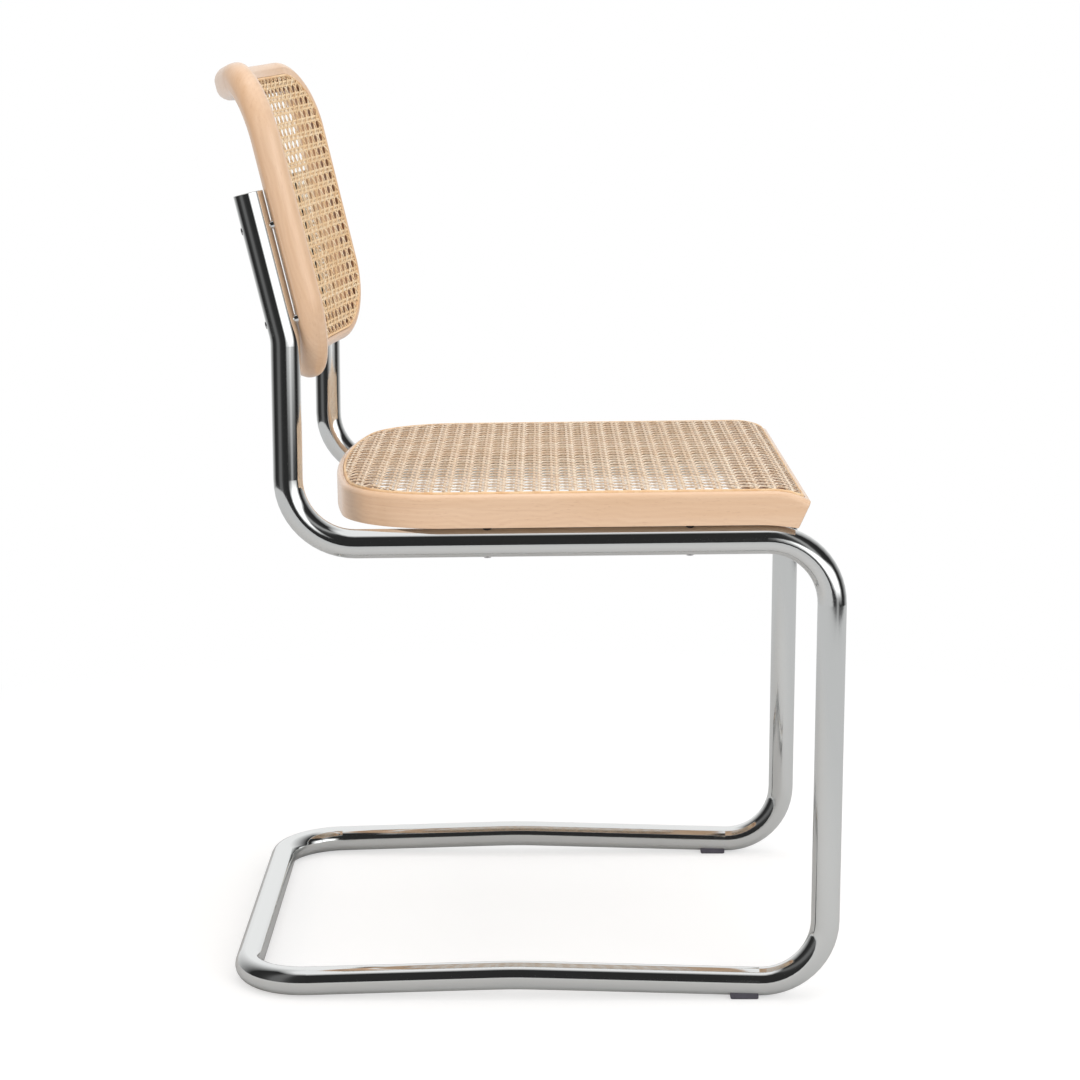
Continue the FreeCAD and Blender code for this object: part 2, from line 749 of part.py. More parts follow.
def back_dowel_bars():
    """Two dowels across each of the four joints between rails and stiles."""
    angle = STRAIGHT_U / BACK_R
    depth = BACK_R + size("back_thick") / 2
    bars = []
    for side in SIDES.values():
        along = Vector(math.cos(angle), -side * math.sin(angle), 0)
        centre = BACK_AXIS + Vector(side * math.sin(angle), math.cos(angle), 0) * depth
        for level in (-1, 1):
            middle = size("back_centre") + level * (STRAIGHT_V + MID_CORNER)
            for step in (-0.5, 0.5):
                height = middle + step * size("back_dowel_gap")
                start = centre + UP * height - along * (size("back_dowel_length") / 2)
                bars.append(cylinder("back_dowel_%d" % len(bars), "Sizes.back_dowel_dia / 2",
                                     "Sizes.back_dowel_length", Placement(start, Rotation(UP, along))))
    return bars


def back_openings():
    """Grid of square openings that stands for the weave, clear of the groove."""
    pitch = size("mesh_pitch")
    side = size("mesh_opening")
    across = int(size("back_mesh_across"))
    along = int(size("back_mesh_along"))
    margin = size("groove_width") + size("mesh_margin")
    half = BACK_R * math.sin((size("back_width") / 2 - size("back_groove_side") - margin) / BACK_R)
    rise = size("back_height") / 2 - (size("back_groove_top") + size("back_groove_bottom")) / 2 - margin
    middle = size("back_centre") - (size("back_groove_top") - size("back_groove_bottom")) / 2
    radius = size("back_corner") - size("back_groove_side") - margin
    boxes = []
    for column in range(across):
        for row in range(along):
            x = (column - (across - 1) / 2) * pitch
            z = (row - (along - 1) / 2) * pitch
            far_x = abs(x) + side / 2
            far_z = abs(z) + side / 2
            into_corner = math.hypot(max(0, far_x - half + radius), max(0, far_z - rise + radius))
            if far_x <= half and far_z <= rise and into_corner <= radius:
                corner = Vector(x - side / 2, -120, middle + z - side / 2)
                boxes.append(Part.makeBox(side, 180, side, corner))
    return Part.makeCompound(boxes)


def back_insert_base():
    """Height along the screw at which the wood of the stile is deep enough for the insert."""
    angle = (STRAIGHT_U + MID_CORNER) / BACK_R
    rear_point = BACK_AXIS.y + (BACK_R + size("back_thick")) * math.cos(angle)
    return -rear_point + 1.5


def back_pieces():
    hollow = back_cylinder("back_hollow", "Sizes.back_radius")
    groove_floor = back_cylinder("back_groove_floor", "Sizes.back_radius + Sizes.groove_depth")
    reed_front = back_cylinder("back_reed_front", "Sizes.back_radius - Sizes.spline_proud")
    cane_front = back_cylinder("back_cane_front", "Sizes.back_radius - Sizes.cane_thick")
    inside = back_prism("back_cane_outline", size("groove_width"))
    ring = cut("back_groove_ring", back_prism("back_groove_outline", 0.0), inside)
    groove = common("back_groove", ring, groove_floor)
    relief_floor = back_cylinder("back_relief_floor", "Sizes.back_radius + Sizes.cane_relief")
    relief_outline = back_prism("back_relief_outline", size("groove_width") + size("cane_ledge"))
    relief = common("back_relief", relief_outline, relief_floor)
    dowels = back_dowel_bars()
    holes = blind_holes("back_insert_hole", BACK_PLACES, back_insert_base(), BACK_FRAME)
    for index, place in enumerate(BACK_PLACES):
        way = feature("Part::Cylinder", "back_screw_way_%d" % index, BACK_FRAME.inverse().multiply(place),
                      Height=back_insert_base())
        holes.append(bind(way, Radius="Sizes.screw_hole_dia / 2"))

    stile = cut("back_stile_blank", back_stile(), hollow)
    blanks = {"left": stile, "right": mirrored("back_stile_blank_right", stile, X_AXIS)}
    stile_tools = fuse("back_stile_tools", [groove, relief] + dowels + holes)
    for side, blank in blanks.items():
        cut("back_stile_" + side, blank, stile_tools, BACK_FRAME)

    bar = back_rail()
    bars = {"top": bar, "bottom": mirrored("back_rail_low", bar, UP)}
    rail_tools = fuse("back_rail_tools", [groove, relief] + dowels)
    for level, source in bars.items():
        raised = group("back_%s_bar" % level, [source], BACK_MIDDLE)
        blank = cut("back_%s_blank" % level, raised, hollow)
        cut("back_%s_rail" % level, blank, rail_tools, BACK_FRAME)
    group("back_dowels", dowels, BACK_FRAME)

    cut("back_cane_spline", groove, reed_front, BACK_FRAME)
    sheet_blank = cut("back_cane_blank", common("back_cane_block", inside, hollow), cane_front)
    cut("back_cane_panel", sheet_blank, drawn("back_cane_openings", back_openings()), BACK_FRAME)
    return blanks


back_stiles = back_pieces()


# Back fasteners

def back_fasteners(blanks):
    base = back_insert_base()
    sheet.set("C1", str(TUBE_R - size("spot_face") + base + size("insert_length")))
    sheet.setAlias("C1", "back_screw_reach")
    doc.recompute()
    repeated("back_screws", screw_parts("back_screw", "Sizes.back_screw_reach"), BACK_PLACES)
    bush = sleeve_parts("Sizes.insert_dia / 2", "Sizes.screw_dia / 2", "Sizes.insert_length", "back_insert",
                        base)
    repeated("back_inserts", bush, BACK_PLACES)
    collar = sleeve_parts("Sizes.back_spacer_dia / 2", "Sizes.screw_hole_dia / 2", "Sizes.back_thick",
                          "back_spacer", 0)
    off_tube = cut("back_spacers_off_tube", repeated("back_spacer_collars", collar, BACK_PLACES), tube_bar)
    wood = group("back_stiles_in_place", list(blanks.values()), BACK_FRAME)
    trimmed = cut("back_spacers_trimmed", off_tube, wood)
    doc.recompute()
    # Each collar is cut in two by the stile; the piece between tube and stile is the spacer.
    solids = trimmed.Shape.Solids
    spacers = []
    for place in BACK_PLACES:
        axis_point = place.multVec(Vector(0, 0, TUBE_R))
        spacers.append(min(solids, key=lambda solid: solid.CenterOfMass.distanceToPoint(axis_point)))
    drawn("back_spacers", Part.makeCompound(spacers))


back_fasteners(back_stiles)

doc.recompute()

NODES = [
    "frame_tube", "upright_end_plugs", "front_glide_left", "front_glide_right",
    "seat_side_and_rear_frame", "seat_front_rail", "seat_dowels", "seat_cane_panel", "seat_cane_spline",
    "seat_screws", "seat_spacers", "seat_inserts",
    "back_stile_left", "back_stile_right", "back_top_rail", "back_bottom_rail", "back_dowels",
    "back_cane_panel", "back_cane_spline", "back_screws", "back_spacers", "back_inserts",
]

for obj in doc.Objects:
    if "Invalid" in obj.State or "Error" in obj.State:
        raise RuntimeError("object %s failed: %s" % (obj.Name, obj.State))

for name in NODES:
    shape = doc.getObject(name).Shape
    if shape.isNull() or not shape.isValid():
        raise RuntimeError("shape of %s is not valid" % name)
    shape.exportStep("parts/%s.step" % name)
    print("%-26s %2d solid(s) %10.0f mm3" % (name, len(shape.Solids), shape.Volume))
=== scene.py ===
"""Looks of a cantilever side chair with caned beech seat and back on a bent chromed tube."""

import math

import bmesh
import bpy
from bpy.props import FloatProperty, FloatVectorProperty, IntProperty, PointerProperty
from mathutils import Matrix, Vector


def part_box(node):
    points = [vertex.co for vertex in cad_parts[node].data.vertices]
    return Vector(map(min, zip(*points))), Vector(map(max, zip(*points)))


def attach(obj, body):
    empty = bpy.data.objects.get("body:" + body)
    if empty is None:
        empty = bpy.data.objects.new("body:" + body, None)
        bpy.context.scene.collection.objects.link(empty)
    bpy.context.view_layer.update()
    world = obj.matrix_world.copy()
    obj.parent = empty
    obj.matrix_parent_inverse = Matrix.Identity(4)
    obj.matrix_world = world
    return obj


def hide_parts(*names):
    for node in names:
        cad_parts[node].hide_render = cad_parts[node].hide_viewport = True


bl_info = {
    "name": "Caned Cantilever Chair",
    "version": (1, 0, 0),
    "blender": (4, 5, 0),
    "location": "View3D > Sidebar > Chair",
    "description": "Weaves the cane, finishes wood, chrome and plastic, and sets a plain studio",
    "category": "Object",
}

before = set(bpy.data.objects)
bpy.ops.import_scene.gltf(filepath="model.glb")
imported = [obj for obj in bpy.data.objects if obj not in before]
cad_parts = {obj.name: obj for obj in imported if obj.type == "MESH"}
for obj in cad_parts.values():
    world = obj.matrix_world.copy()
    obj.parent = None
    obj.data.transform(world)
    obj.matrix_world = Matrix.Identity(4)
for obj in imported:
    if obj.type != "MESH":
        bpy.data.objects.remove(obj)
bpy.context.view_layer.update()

MM = 0.001
TUBE_RADIUS = 12.7 * MM
CROSSBAR_BEHIND = 49.2 * MM
CROSSBAR_Y = max(Vector(corner).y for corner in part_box("frame_tube")) - TUBE_RADIUS
UPRIGHT_Y = CROSSBAR_Y - CROSSBAR_BEHIND

# The seat's frame starts on the upright axis at rail height and rises towards the front.
SEAT_ORIGIN = Vector((0, UPRIGHT_Y, 411.8 * MM))
SEAT_SLOPE = math.radians(0.665)
SEAT_TOP = 43.0 * MM
SEAT_HALF = 231.0 * MM
SEAT_REAR = 28.4 * MM
SEAT_CORNER = 95.0 * MM
SEAT_BOW = 923.0 * MM
DROOP_START = 417.4 * MM
DROOP_RADIUS = 68.2 * MM

# The back's frame starts where the uprights begin to lean back.
BACK_ORIGIN = Vector((0, UPRIGHT_Y, 590.0 * MM))
BACK_LEAN = math.radians(13.4)
BACK_RADIUS = 607.0 * MM
BACK_OFFSET = 3.3 * MM
BACK_HALF_WIDTH = 233.0 * MM
BACK_HALF_HEIGHT = 139.0 * MM
BACK_MIDDLE = 96.8 * MM
BACK_CORNER = 71.0 * MM

# Grooves that hold the cane: distances in from the outer edges, and forward of the uprights.
GROOVE_WIDTH = 3.5 * MM
SEAT_GROOVE_EDGE = 5.5 * MM
SEAT_GROOVE_FRONT = 447.0 * MM
SEAT_GROOVE_TURN = 6.0 * MM
SEAT_CANE_EDGE = SEAT_GROOVE_EDGE + GROOVE_WIDTH
SEAT_CANE_FRONT = SEAT_GROOVE_FRONT - GROOVE_WIDTH
BACK_GROOVE_SIDE = 10.0 * MM
BACK_GROOVE_TOP = 12.5 * MM
BACK_GROOVE_BOTTOM = 9.0 * MM

# Wood: depth at which it counts as lowered, strength and fade of the painted shade under the cane, and the
# grain's corner.
SHADE_DEPTH = 1.0 * MM
SHADE_STRENGTH = 0.68
SHADE_FADE_START = 4.0 * MM
SHADE_FADE_END = 18.0 * MM
GRAIN_CORNER = 80.0 * MM

# Cane: middle of the sheet over the wood. Gap and relief are in units of the mesh and of the thickness.
SHEET_HALF = 0.8 * MM
STRAND_THICKNESS = 0.48 * MM
STRAND_FULLNESS = 0.55
STRAND_SIDES = 6
PAIR_GAP = 0.148
PAIR_RELIEF = 0.62
DIAGONAL_RELIEF = 1.15
DIAGONAL_STEEPNESS = 1.7
SEAT_CANE_REACH = 215.0 * MM
SEAT_CANE_MIDDLE = -238.52 * MM
BACK_CANE_MIDDLE = 90.18 * MM
SEAT_CUTTER_DEPTH = 0.2
BACK_CUTTER_DEPTH = 0.3
CROWN_START = 1.5 * MM
CROWN_END = 9.0 * MM
CROWN_HEIGHT = 1.2 * MM
REED_HEIGHT = 5.0 * MM
REED_PROUD = 1.75 * MM
REED_STEP = 4.0 * MM
REED_SIDES = 16
SEAT_REED_WIDTH = 2.9 * MM
BACK_REED_WIDTH = 3.1 * MM

# Stage
WHITE = (1.0, 1.0, 1.0, 1.0)
DARK_WALL = 0.022
BRIGHT_END = 0.84
BRIGHT_PANEL = 1.4
CEILING = 0.85
AMBIENT = 0.62
FLOOR_RADIUS = 2.0
FLOOR_GREY = 0.55
FLOOR_BLEND = (0.7, 1.2)
CAMERA_PLACE = (-2.4539, UPRIGHT_Y - 0.2174, 0.81815)
CAMERA_TILT = math.radians(11.155)
CAMERA_LENS = 87.28
CAMERA_SHIFT = 0.0398
# Name, place, target, size in metres, watts and tint of each lamp
LAMPS = (
    ("overhead", (0.0, -0.3, 2.4), (0.0, 0.0, 0.3), 2.2, 20, (1.0, 1.0, 1.0)),
    ("key", (-2.2, -1.5, 1.4), (0.0, 0.0, 0.5), 1.4, 19, (1.0, 1.0, 1.0)),
    ("side_fill", (-1.7, 2.0, 0.9), (0.0, 0.0, 0.6), 1.0, 13, (1.0, 0.82, 0.64)),
)


def linear(red, green, blue):
    """Scene colour from the 0-255 values that a picture shows."""
    def channel(value):
        part = value / 255
        return part / 12.92 if part <= 0.04045 else ((part + 0.055) / 1.055) ** 2.4

    return (channel(red), channel(green), channel(blue))


class ChairSettings(bpy.types.PropertyGroup):
    """Sizes and colours a user may change."""

    seat_pitch: FloatProperty(
        name="Seat mesh", description="Distance between holes of the seat cane",
        default=15.66 * MM, unit="LENGTH")
    seat_strand: FloatProperty(
        name="Seat strand", description="Width of one strand of the seat cane",
        default=2.7 * MM, unit="LENGTH")
    back_pitch_u: FloatProperty(
        name="Back mesh across", description="Distance between hole columns of the back",
        default=12.5 * MM, unit="LENGTH")
    back_pitch_v: FloatProperty(
        name="Back mesh up", description="Distance between hole rows of the back",
        default=13.0 * MM, unit="LENGTH")
    back_strand: FloatProperty(
        name="Back strand", description="Width of one strand of the back cane",
        default=2.3 * MM, unit="LENGTH")
    steps: IntProperty(
        name="Steps per mesh", description="Points along a strand for each hole", default=6, min=4)
    beech: FloatVectorProperty(
        name="Beech", description="Middle tone of the lacquered beech",
        subtype="COLOR", default=linear(240, 198, 158))
    # Painted sheen: the seat's tone is partly the cane's own colour and partly painted sheen, paler and
    # pinker than the back's cane.
    seat_cane: FloatVectorProperty(
        name="Seat cane", description="Lighter tone of the seat's cane",
        subtype="COLOR", default=linear(241, 221, 198))
    back_cane: FloatVectorProperty(
        name="Back cane", description="Lighter tone of the back's cane",
        subtype="COLOR", default=linear(253, 227, 188))
    chrome: FloatVectorProperty(
        name="Chrome", description="Tint of the polished chrome",
        subtype="COLOR", default=(0.90, 0.915, 0.91))
    glide: FloatVectorProperty(
        name="Glides", description="Colour of the plastic pads",
        subtype="COLOR", default=linear(88, 86, 97))


# Node graphs

class Wire:
    """A node's output with arithmetic, so that node maths reads as an expression."""

    def __init__(self, graph, socket):
        self.graph = graph
        self.socket = socket

    def math(self, operation, *others):
        return self.graph.math(operation, self, *others)

    def __add__(self, other):
        return self.math("ADD", other)

    __radd__ = __add__

    def __mul__(self, other):
        return self.math("MULTIPLY", other)

    __rmul__ = __mul__

    def __sub__(self, other):
        return self.math("SUBTRACT", other)

    def __rsub__(self, other):
        return self.graph.math("SUBTRACT", other, self)

    def __truediv__(self, other):
        return self.math("DIVIDE", other)

    def __rtruediv__(self, other):
        return self.graph.math("DIVIDE", other, self)

    def __neg__(self):
        return self.math("MULTIPLY", -1.0)

    def __gt__(self, other):
        return self.math("GREATER_THAN", other)

    def __lt__(self, other):
        return self.math("LESS_THAN", other)


class Graph:
    """Adds nodes to a shader or geometry tree."""

    def __init__(self, tree):
        self.tree = tree

    def node(self, kind, settings=None, **values):
        """A node, its settings made first. Each value is a number, colour or Wire, named by its socket."""
        made = self.tree.nodes.new(kind)
        for name, value in (settings or {}).items():
            setattr(made, name, value)
        for name, value in values.items():
            self.feed(self.input_of(made, name), value)
        return made

    def input_of(self, made, name):
        """The shown input whose name, written with underscores, is the one asked for, or by its number."""
        if name.startswith("in_"):
            return made.inputs[int(name[3:])]
        for socket in made.inputs:
            if socket.enabled and socket.name.replace(" ", "_") == name:
                return socket
        raise KeyError("%s has no input %s" % (made.bl_idname, name))

    def feed(self, socket, value):
        if isinstance(value, Wire):
            self.tree.links.new(value.socket, socket)
        else:
            socket.default_value = value

    def out(self, made, name=0):
        """An enabled output by name, or the first."""
        shown = [socket for socket in made.outputs if socket.enabled]
        if name == 0:
            return Wire(self, shown[0])
        return Wire(self, next(socket for socket in shown if socket.name == name))

    def link_output(self, kind, shader):
        """Links a shader node to a new output node."""
        self.tree.links.new(shader.outputs[0], self.node(kind).inputs[0])

    def math(self, operation, *values):
        made = self.tree.nodes.new("ShaderNodeMath")
        made.operation = operation
        for socket, value in zip(made.inputs, values):
            self.feed(socket, value)
        return Wire(self, made.outputs[0])

    def split(self, vector):
        made = self.node("ShaderNodeSeparateXYZ", None, in_0=vector)
        return [Wire(self, socket) for socket in made.outputs]

    def join(self, x, y, z):
        return self.out(self.node("ShaderNodeCombineXYZ", None, X=x, Y=y, Z=z))

    def ramp(self, value, low, high):
        """0 at low and 1 at high, held outside."""
        made = self.node("ShaderNodeMapRange", {"clamp": True}, Value=value, From_Min=low, From_Max=high)
        return self.out(made)

    def blend(self, factor, first, second):
        """Colour between two colours."""
        made = self.node("ShaderNodeMix", {"data_type": "RGBA"})
        self.feed(made.inputs[0], factor)
        self.feed(made.inputs[6], rgba(first))
        self.feed(made.inputs[7], rgba(second))
        return Wire(self, made.outputs[2])

    def noise(self, place, detail=2.0, rough=0.5, distortion=0.0, scale=1.0):
        made = self.node("ShaderNodeTexNoise", None, Vector=place, Scale=scale, Detail=detail,
                         Roughness=rough, Distortion=distortion)
        return self.out(made)


def cleared_graph(owner):
    """Graph of a material or world whose own nodes are taken out."""
    owner.use_nodes = True
    owner.node_tree.nodes.clear()
    return Graph(owner.node_tree)


def rgba(colour):
    return colour if isinstance(colour, Wire) else (*tuple(colour)[:3], 1.0)


def scaled(colour, factor):
    return tuple(min(1.0, part * factor) for part in tuple(colour)[:3])


def between(first, second, part):
    return tuple(a * (1 - part) + b * part for a, b in zip(tuple(first)[:3], second))


# Materials

def new_material(name):
    """Empty material: its graph, its Principled shader and object coordinates."""
    material = bpy.data.materials.new(name)
    graph = cleared_graph(material)
    shader = graph.node("ShaderNodeBsdfPrincipled")
    graph.link_output("ShaderNodeOutputMaterial", shader)
    place = graph.out(graph.node("ShaderNodeTexCoord"), "Object")
    return material, graph, shader, place


def feed_surface(graph, shader, colour, roughness, height, strength, distance):
    """Feeds a shader its colour, its roughness and a bump."""
    graph.feed(shader.inputs["Base Color"], colour)
    graph.feed(shader.inputs["Roughness"], roughness)
    bump = graph.node("ShaderNodeBump", None, Strength=strength, Distance=distance, Height=height)
    graph.feed(shader.inputs["Normal"], graph.out(bump))


def grain_around_seat(graph, place):
    """Lengths along, across and through the bent wood of the seat, following its rear corners."""
    x, y, z = graph.split(place)
    side = x.math("ABSOLUTE") - (SEAT_HALF - SEAT_CORNER)
    behind = y - (UPRIGHT_Y - seat_corner_forward())
    beside = side > 0.0
    turning = beside * (behind > 0.0)
    straight = 1.0 - turning
    radius = (side * side + behind * behind).math("SQRT")
    angle = behind.math("ARCTAN2", side)
    across = turning * radius + straight * (beside * side + (1.0 - beside) * behind)
    along_rear = GRAIN_CORNER * math.pi / 2 - side
    along = turning * angle * GRAIN_CORNER + straight * (beside * behind + (1.0 - beside) * along_rear)
    return along, across, z


def grain_sideways(graph, place):
    """Grain that runs from side to side."""
    return graph.split(place)


def grain_up_back(graph, place):
    """Grain that runs up the leaning back."""
    x, y, z = graph.split(place)
    up = z * math.cos(BACK_LEAN) + y * math.sin(BACK_LEAN)
    out = y * math.cos(BACK_LEAN) - z * math.sin(BACK_LEAN)
    return up, x, out


def inside_seat_groove(across, behind):
    """Distance from the groove's inner side at the seat's sides, corners and rear, inwards positive.

    The place is given across and backwards from the seat's origin.
    """
    side = across.math("ABSOLUTE") - (SEAT_HALF - SEAT_CORNER)
    past = (behind + seat_corner_forward()).math("MAXIMUM", 0.0)
    reach = behind + SEAT_REAR + SEAT_BOW
    corner = side > 0.0
    from_corner = SEAT_CORNER - SEAT_CANE_EDGE - (side * side + past * past).math("SQRT")
    from_bow = SEAT_BOW - SEAT_CANE_EDGE - (across * across + reach * reach).math("SQRT")
    return corner * from_corner + (1.0 - corner) * from_bow


def painted_shade_by_depth(graph, depth):
    """Painted shade: 1 on wood lowered to the cane's underside, fading out down the wall of the opening."""
    return (depth > SHADE_DEPTH) * graph.ramp(depth, SHADE_FADE_END, SHADE_FADE_START)


def shade_under_seat_cane(graph, place):
    """Painted shade: 1 on the wood under the seat's cane, fading down the wall of the opening, 0 elsewhere.
    """
    x, y, z = graph.split(place)
    forward = UPRIGHT_Y - y
    height = z - SEAT_ORIGIN.z - forward * math.tan(SEAT_SLOPE)
    past = (forward - DROOP_START).math("MAXIMUM", 0.0)
    drop = DROOP_RADIUS - (DROOP_RADIUS ** 2 - past * past).math("SQRT")
    depth = SEAT_TOP - drop - height
    inside = (inside_seat_groove(x, -forward) > 0.0) * (forward < SEAT_CANE_FRONT)
    return inside * painted_shade_by_depth(graph, depth)


def shade_under_back_cane(graph, place):
    """Painted shade: 1 on the wood under the back's cane, fading down the wall of the opening, 0 elsewhere.
    """
    x, y, z = graph.split(place)
    rise = z - BACK_ORIGIN.z
    behind = y - UPRIGHT_Y
    up = rise * math.cos(BACK_LEAN) + behind * math.sin(BACK_LEAN)
    out = behind * math.cos(BACK_LEAN) - rise * math.sin(BACK_LEAN) + (BACK_RADIUS - BACK_OFFSET)
    depth = (x * x + out * out).math("SQRT") - BACK_RADIUS
    half, low, top, turn = back_limits(GROOVE_WIDTH)
    over = (x.math("ABSOLUTE") - (half - turn)).math("MAXIMUM", 0.0)
    above = ((up - (top + low) / 2).math("ABSOLUTE") - ((top - low) / 2 - turn)).math("MAXIMUM", 0.0)
    inside = (over * over + above * above).math("SQRT") < turn
    return inside * painted_shade_by_depth(graph, depth)


def beech(name, grain, settings, seed=0.0, under=None):
    """Pale lacquered beech: soft cloudy tone, wavy figure, fine streaks and short dark flecks."""
    material, graph, shader, place = new_material(name)
    along, across, through = grain(graph, place)

    def drawn(lengthwise, sideways, *shape):
        """Noise with its own stretch along and across the grain."""
        stretched = graph.join(along * lengthwise + seed, across * sideways, through * sideways)
        return graph.noise(stretched, *shape)

    cloud = drawn(3.0, 28.0, 3.0, 0.5)
    streak = drawn(9.0, 420.0, 3.0, 0.6, 0.3)
    band = drawn(2.0, 120.0, 2.0, 0.5, 0.5)
    fleck = drawn(160.0, 1500.0, 1.0, 0.4)
    sway = drawn(14.0, 10.0, 2.0, 0.5)
    light = between(settings.beech, linear(246, 217, 190), 0.6)
    dark = linear(212, 164, 124)
    figure = ((across + through) * 1300.0 + sway * 34.0 + cloud * 12.0).math("SINE") * 0.5 + 0.5
    tone = graph.ramp(cloud * 0.5 + band * 0.35 + streak * 0.15, 0.38, 0.62)
    colour = graph.blend(tone, scaled(settings.beech, 0.92), light)
    colour = graph.blend(figure * graph.ramp(band, 0.35, 0.65) * 0.16, colour, dark)
    colour = graph.blend(graph.ramp(streak, 0.56, 0.76) * 0.40, colour, dark)
    flecks = graph.ramp(fleck, 0.66, 0.74) * 0.20
    colour = graph.blend(flecks, colour, linear(190, 138, 100))
    # Painted shade: the wood under the cane and down the opening's wall is darkened towards a deep brown.
    if under is not None:
        colour = graph.blend(under(graph, place) * SHADE_STRENGTH, colour, linear(140, 82, 48))
    feed_surface(graph, shader, colour, 0.32 + streak * 0.10, streak * 0.6 - flecks, 0.12, 0.3 * MM)
    shader.inputs["Coat Weight"].default_value = 0.8
    shader.inputs["Coat Roughness"].default_value = 0.26
    return material


def cane_skin(name, middle):
    """Glossy cane skin: each strand has its own tone, with fibres and a few darker growth nodes."""
    material, graph, shader, place = new_material(name)
    tone = graph.out(graph.node("ShaderNodeAttribute", {"attribute_name": "tone"}), "Fac")
    x, y, z = graph.split(place)

    def by_strand(stretch, shift):
        """Coordinates that differ from strand to strand."""
        return graph.join(x * stretch + tone * shift, y * stretch, z * stretch)

    mottle = graph.noise(by_strand(90.0, 40.0), 3.0, 0.55)
    fibre = graph.noise(place, scale=900.0)
    dark = tuple(part * ratio for part, ratio in zip(tuple(middle)[:3], (0.88, 0.77, 0.64)))
    colour = graph.blend(graph.ramp(tone * 0.6 + mottle * 0.4, 0.2, 0.8), dark, middle)
    colour = graph.blend(graph.ramp(tone, 0.7, 1.0) * 0.5, colour, linear(255, 240, 215))
    knot = graph.ramp(graph.noise(by_strand(38.0, 90.0), 1.0), 0.70, 0.78)
    colour = graph.blend(knot * 0.35, colour, linear(196, 146, 98))
    feed_surface(graph, shader, colour, 0.32 + fibre * 0.16, fibre, 0.25, 0.1 * MM)
    return material


def reed(name):
    """Matt peeled reed pressed into the groove round the cane."""
    material, graph, shader, place = new_material(name)
    mottle = graph.noise(place, 3.0, 0.6, scale=70.0)
    fibre = graph.noise(place, scale=1200.0)
    colour = graph.blend(graph.ramp(mottle, 0.35, 0.65), linear(230, 186, 138), linear(246, 214, 172))
    feed_surface(graph, shader, colour, 0.50 + fibre * 0.15, fibre, 0.2, 0.1 * MM)
    return material


def polished_chrome(name, settings):
    """Mirror-bright chrome with the faint haze of polishing."""
    material, graph, shader, place = new_material(name)
    haze = graph.noise(place, 4.0, 0.6, scale=30.0)
    shader.inputs["Metallic"].default_value = 1.0
    shader.inputs["Base Color"].default_value = rgba(settings.chrome)
    graph.feed(shader.inputs["Roughness"], 0.05 + haze * 0.05)
    return material


def plated_steel(name):
    """Bright plated steel of screw heads and bushes."""
    material, graph, shader, place = new_material(name)
    haze = graph.noise(place, scale=400.0)
    shader.inputs["Metallic"].default_value = 1.0
    shader.inputs["Base Color"].default_value = (0.62, 0.62, 0.63, 1.0)
    graph.feed(shader.inputs["Roughness"], 0.22 + haze * 0.12)
    return material


def moulded_plastic(name, colour, roughness):
    """Moulded plastic with a fine spark-eroded texture."""
    material, graph, shader, place = new_material(name)
    pebble = graph.noise(place, 1.0, scale=1800.0)
    scuff = graph.noise(place, 3.0, 0.6, scale=160.0)
    shade = graph.blend(graph.ramp(scuff, 0.40, 0.75), scaled(colour, 0.88), scaled(colour, 1.12))
    feed_surface(graph, shader, shade, roughness + scuff * 0.12, pebble, 0.3, 0.05 * MM)
    return material


def coat(node_name, material):
    """Gives a CAD node a new finish."""
    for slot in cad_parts[node_name].material_slots:
        slot.material = material


# Outlines of seat and back cane

def arc_points(centre, radius, start, end, count):
    """Points of an arc from one angle to another, both included."""
    step = (end - start) / (count - 1)
    return [Vector((centre[0] + radius * math.cos(start + step * index),
                    centre[1] + radius * math.sin(start + step * index))) for index in range(count)]


def seat_corner_forward():
    """Distance forward of the uprights at which the seat's rear corners begin."""
    corner_x = SEAT_HALF - SEAT_CORNER
    return SEAT_REAR + SEAT_BOW - math.sqrt((SEAT_BOW - SEAT_CORNER) ** 2 - corner_x ** 2)


def seat_groove_line():
    """Closed plan line of the middle of the seat's groove: across and backwards from the seat's origin."""
    inset = SEAT_GROOVE_EDGE + GROOVE_WIDTH * 0.5
    front = SEAT_GROOVE_FRONT - GROOVE_WIDTH * 0.5
    turn = SEAT_GROOVE_TURN
    bow_centre = SEAT_REAR + SEAT_BOW
    corner_x = SEAT_HALF - SEAT_CORNER
    corner_f = seat_corner_forward()
    join = math.atan2(bow_centre - corner_f, corner_x)
    half = SEAT_HALF - inset
    points = arc_points((half - turn, -front + turn), turn, -math.pi / 2, 0, 5)
    points += arc_points((corner_x, -corner_f), SEAT_CORNER - inset, 0, join, 17)
    points += arc_points((0, -bow_centre), SEAT_BOW - inset, join, math.pi - join, 33)[1:-1]
    points += arc_points((-corner_x, -corner_f), SEAT_CORNER - inset, math.pi - join, math.pi, 17)
    points += arc_points((-half + turn, -front + turn), turn, math.pi, 1.5 * math.pi, 5)
    return points


def back_limits(inset):
    """Half width round the curve, low and top edge and corner radius of the back's cane, set in."""
    half = BACK_HALF_WIDTH - BACK_GROOVE_SIDE - inset
    low = BACK_MIDDLE - BACK_HALF_HEIGHT + BACK_GROOVE_BOTTOM + inset
    top = BACK_MIDDLE + BACK_HALF_HEIGHT - BACK_GROOVE_TOP - inset
    return half, low, top, BACK_CORNER - BACK_GROOVE_SIDE - inset


def back_groove_line():
    """Closed line of the middle of the back's groove from the front: across and up from the back's origin."""
    half_round, low, top, turn = back_limits(GROOVE_WIDTH * 0.5)
    half = BACK_RADIUS * math.sin(half_round / BACK_RADIUS)
    points = arc_points((half - turn, low + turn), turn, -math.pi / 2, 0, 17)
    points += arc_points((half - turn, top - turn), turn, 0, math.pi / 2, 17)
    points += arc_points((-half + turn, top - turn), turn, math.pi / 2, math.pi, 17)
    points += arc_points((-half + turn, low + turn), turn, math.pi, 1.5 * math.pi, 17)
    return points


def new_object(name, data):
    made = bpy.data.objects.new(name, data)
    bpy.context.scene.collection.objects.link(made)
    return made


